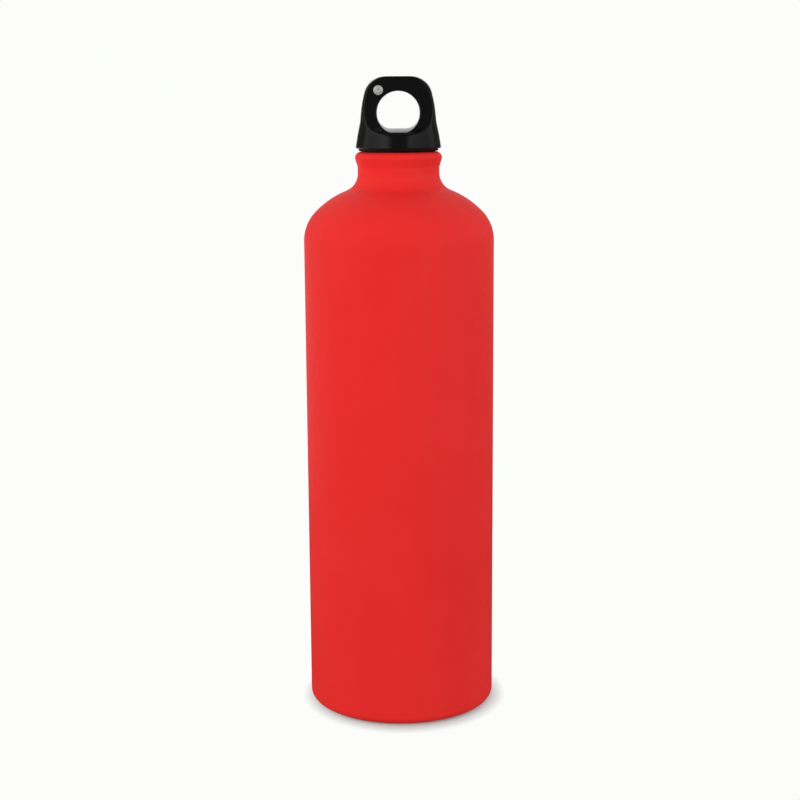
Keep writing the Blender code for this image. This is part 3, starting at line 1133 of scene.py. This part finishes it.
bm = bmesh.new()
bmesh.ops.create_circle(bm, cap_ends=True, segments=96, radius=floor_radius)
floor = mesh_object("floor", bm)
floor_finish = bpy.data.materials.new("white_floor_with_painted_shade")
floor_finish.use_nodes = True
tree = floor_finish.node_tree
tree.nodes.clear()
rays, seen = rays_that_see(tree)
spot = add(tree, "TexCoord").outputs["Object"]
# Painted light for mirrors: the floor glows dim near the foot and brightens into a painted pool of
# light far behind on the left.
to_back_left = add(tree, "VectorMath", {0: spot, 1: sheen_direction}, operation="DOT_PRODUCT")
painted_light_in_mirrors = add(
    tree,
    "MapRange",
    {
        "Value": to_back_left.outputs["Value"],
        "From Min": sheen_start,
        "From Max": sheen_end,
        "To Min": dim,
    },
)
strength = add(tree, "MapRange", {"Value": seen, "To Min": bounce})
strength = add(
    tree,
    "Mix",
    {"Factor": rays.outputs["Is Glossy Ray"], "A": strength.outputs[0], "B": painted_light_in_mirrors.outputs[0]},
)
glow = add(tree, "Emission", {"Color": white, "Strength": strength.outputs[0]})
# Painted shade: this cool grey near the foot darkens the real contact shadow and cancels the red
# bounce in it.
painted_shade = add(tree, "BsdfDiffuse", {"Color": colour("BAC4C4")})
squeezed = add(
    tree, "Mapping", {"Vector": spot, "Location": shadow_shift, "Scale": shadow_squeeze}
)
distance = add(tree, "VectorMath", {0: squeezed.outputs["Vector"]}, operation="LENGTH")
fade = add(
    tree,
    "MapRange",
    {
        "Value": distance.outputs["Value"],
        "From Min": fade_start,
        "From Max": fade_end,
        "To Min": glow_near,
    },
)
mix = add(tree, "MixShader", {0: fade.outputs[0], 1: painted_shade.outputs[0], 2: glow.outputs[0]})
add(tree, "OutputMaterial", {"Surface": mix.outputs[0]})
floor.data.materials.append(floor_finish)
print(f"floor: paint to {fade_start} m, all glow from {fade_end} m")

# %% [markdown]
# What a glossy cap shows is the room, so the world is drawn as a product studio has it: a
# grey wall on the left and a darker one on the right, a narrow white backdrop low behind
# the bottle, and darkness in front, above and beside the backdrop. Each wall is brightest
# next to the dark front and fades to less than half straight to the side. The dark front is
# the stripe down the middle of the cap, and the dark sides keep its outline crisp against
# the white. The room is built from bands along X, Y and Z with soft ends.

# %% Bands of the room
left_wall = 0.8
right_wall = 0.56
wall_far_share = 0.45
wall_edge = 0.41
wall_edge_blur = 0.04
left_wall_back = 0.28
right_wall_back = 0.42
backdrop_edge = 0.33
backdrop_full = 0.27
backdrop_top = 0.5
blur = 0.1

world = bpy.data.worlds.new("studio")
world.use_nodes = True
bpy.context.scene.world = world
tree = world.node_tree
tree.nodes.clear()
rays, seen = rays_that_see(tree)
direction = add(tree, "SeparateXYZ", {0: add(tree, "TexCoord").outputs["Generated"]})
aside, behind, up = direction.outputs
either_side = add(tree, "Math", {0: aside}, operation="ABSOLUTE").outputs[0]


def band(value, start, end, top=1.0):
    """Fades from nothing at start to top at end, along one axis of the room."""
    limits = {"From Min": start, "From Max": end, "To Max": top}
    made = add(tree, "MapRange", {"Value": value, **limits}, interpolation_type="SMOOTHSTEP")
    return made.outputs[0]


def together(first, second, operation):
    """One sum, product or greater of two values."""
    return add(tree, "Math", {0: first, 1: second}, operation=operation).outputs[0]


def wall_at(side, level, back):
    """A wall on the left (-1) or the right (1) that ends this far towards the back."""
    face = band(aside, side * wall_edge, side * (wall_edge + wall_edge_blur), level)
    return together(face, band(behind, back + blur, back), "MULTIPLY")


# %% Walls and backdrop
left = wall_at(-1, left_wall, left_wall_back)
right = wall_at(1, right_wall, right_wall_back)
walls = together(left, right, "MAXIMUM")
fading = add(
    tree,
    "MapRange",
    {"Value": either_side, "From Min": wall_edge, "To Min": 1.0, "To Max": wall_far_share},
)
walls = together(walls, fading.outputs[0], "MULTIPLY")
backdrop_sides = band(either_side, backdrop_edge, backdrop_full)
backdrop = together(band(behind, 0.0, blur), backdrop_sides, "MULTIPLY")
backdrop = together(backdrop, band(up, backdrop_top + blur, backdrop_top - blur), "MULTIPLY")
room = together(together(walls, backdrop, "MAXIMUM"), dim, "MAXIMUM")
shown = add(
    tree, "Mix", {"Factor": rays.outputs["Is Glossy Ray"], "A": white, "B": room}, data_type="RGBA"
)
print(f"walls {left_wall} and {right_wall}, backdrop up to {backdrop_top}")

# %% [markdown]
# A dull surface doesn't mirror the room, it gathers its light. So it gets a plain fill,
# which is weaker from above, where the shoulder would wash out, and stronger from behind,
# where no lamp stands.

# %% Fill, and the world's output
fill_level = 0.6
fill_above = 0.4
fill_above_start, fill_above_end = 0.2, 0.9
fill_behind = 0.85
fill_behind_start, fill_behind_end = 0.2, 0.8

fill = add(
    tree,
    "MapRange",
    {
        "Value": up,
        "From Min": fill_above_start,
        "From Max": fill_above_end,
        "To Min": fill_level,
        "To Max": fill_above,
    },
)
from_behind = add(
    tree,
    "MapRange",
    {
        "Value": behind,
        "From Min": fill_behind_start,
        "From Max": fill_behind_end,
        "To Max": fill_behind,
    },
)
fill_total = together(fill.outputs[0], from_behind.outputs[0], "ADD")
sight = add(tree, "Background", {"Color": shown.outputs["Result"], "Strength": 1.0})
ambient = add(tree, "Background", {"Color": (1, 1, 1, 1), "Strength": fill_total})
mix = add(tree, "MixShader", {0: seen, 1: ambient.outputs[0], 2: sight.outputs[0]})
add(tree, "OutputWorld", {"Surface": mix.outputs[0]})
print(f"fill {fill_level} from the sides, {fill_level + fill_behind} from behind")


# %% [markdown]
# Two softboxes stand at the sides, the left one a little stronger, and a weak one stands in
# front, so the red can is lit evenly from edge to edge and only slightly brighter on its
# left. The walls of the world are their mirror images, so the lamps hide from mirrors.

# %% Softboxes
aim = (0, 0, 0.15)


def softbox(name, place, width, height, radiance):
    """A flat lamp turned to the middle of the bottle, with its brightness as seen from there."""
    data = bpy.data.lights.new(name, "AREA")
    data.shape = "RECTANGLE"
    data.size = width
    data.size_y = height
    data.energy = radiance * math.pi * width * height
    lamp = bpy.data.objects.new(name, data)
    bpy.context.scene.collection.objects.link(lamp)
    lamp.location = place
    lamp.rotation_euler = (Vector(aim) - Vector(place)).to_track_quat("-Z", "Y").to_euler()
    lamp.visible_glossy = False


softbox("left_softbox", (-0.85, -0.55, 0.4), 0.7, 0.7, 4.5)
softbox("right_softbox", (0.85, -0.55, 0.4), 0.7, 0.7, 3.35)
softbox("front_softbox", (0.1, -1.3, 0.5), 0.5, 0.5, 1.3)
print("lamps:", ", ".join(sorted(light.name for light in bpy.data.lights)))

# %% [markdown]
# The standard view shows each colour as its hex digits say.

bpy.context.scene.view_settings.view_transform = "Standard"
